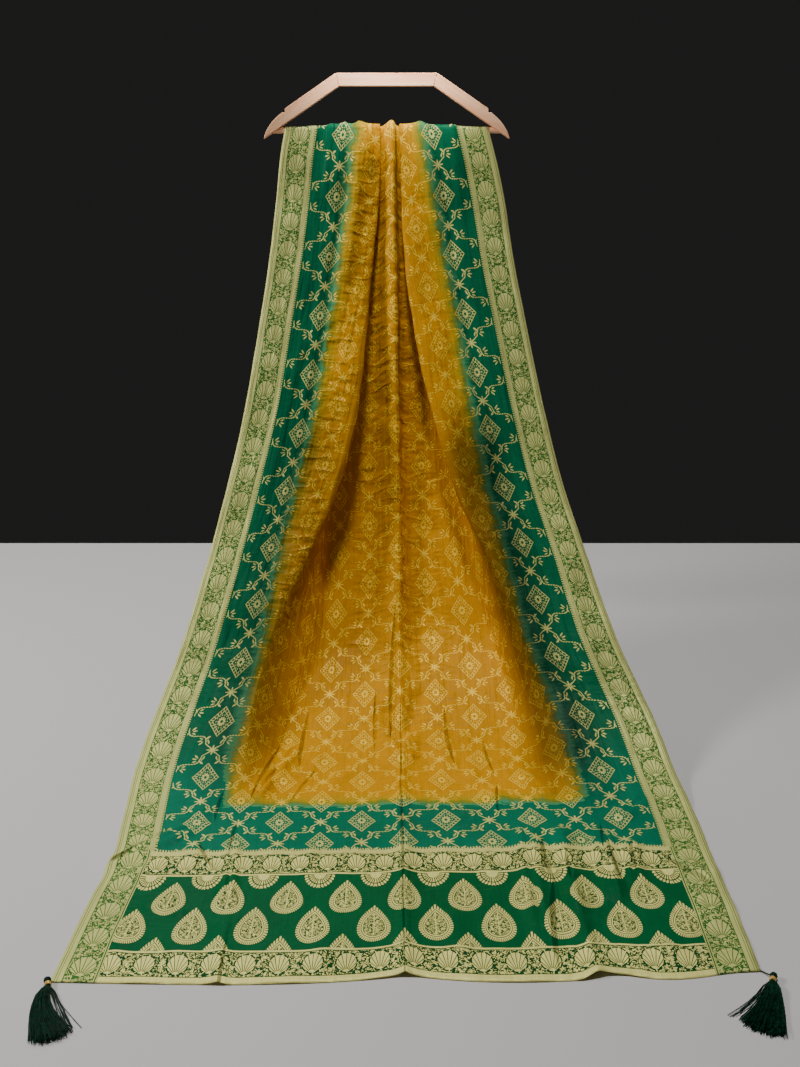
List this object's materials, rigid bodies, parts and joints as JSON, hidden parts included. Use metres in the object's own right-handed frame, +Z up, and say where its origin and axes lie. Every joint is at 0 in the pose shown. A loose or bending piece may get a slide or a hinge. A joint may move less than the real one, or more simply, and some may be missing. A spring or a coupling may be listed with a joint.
{
  "type": "banarasi silk dupatta on a wooden hanger",
  "caption": "Green and mustard brocade dupatta hung over a wooden hanger's rod, swept forward to lie flat on the floor, with corner tassels.",
  "frame": {"origin": "middle of the underside of the hanger's top bar, where a peg carries it", "axes": "+Z up, -Y towards the viewer and along the sweep of the cloth over the floor, +X to the viewer's right"},
  "size_m": [0.8743, 1.2386, 1.1075],
  "materials": {
    "silk": "soft satin silk, green edged with gold-green brocade, mustard in the middle",
    "wood": "pale smooth wood, matt",
    "tassel_yarn": "very dark green twisted yarn with a silky sheen",
    "gilt_bead": "bright gilt"
  },
  "bodies": {
    "root": {"dupatta": "silk", "hanger_top_bar": "wood", "hanger_arm_left": "wood", "hanger_arm_right": "wood", "hanger_rod": "wood", "tassel_left": "tassel_yarn", "tassel_right": "tassel_yarn", "tassel_bead_left": "gilt_bead", "tassel_bead_right": "gilt_bead", "tassel_tie_right": "tassel_yarn"}
  },
  "joints": []
}
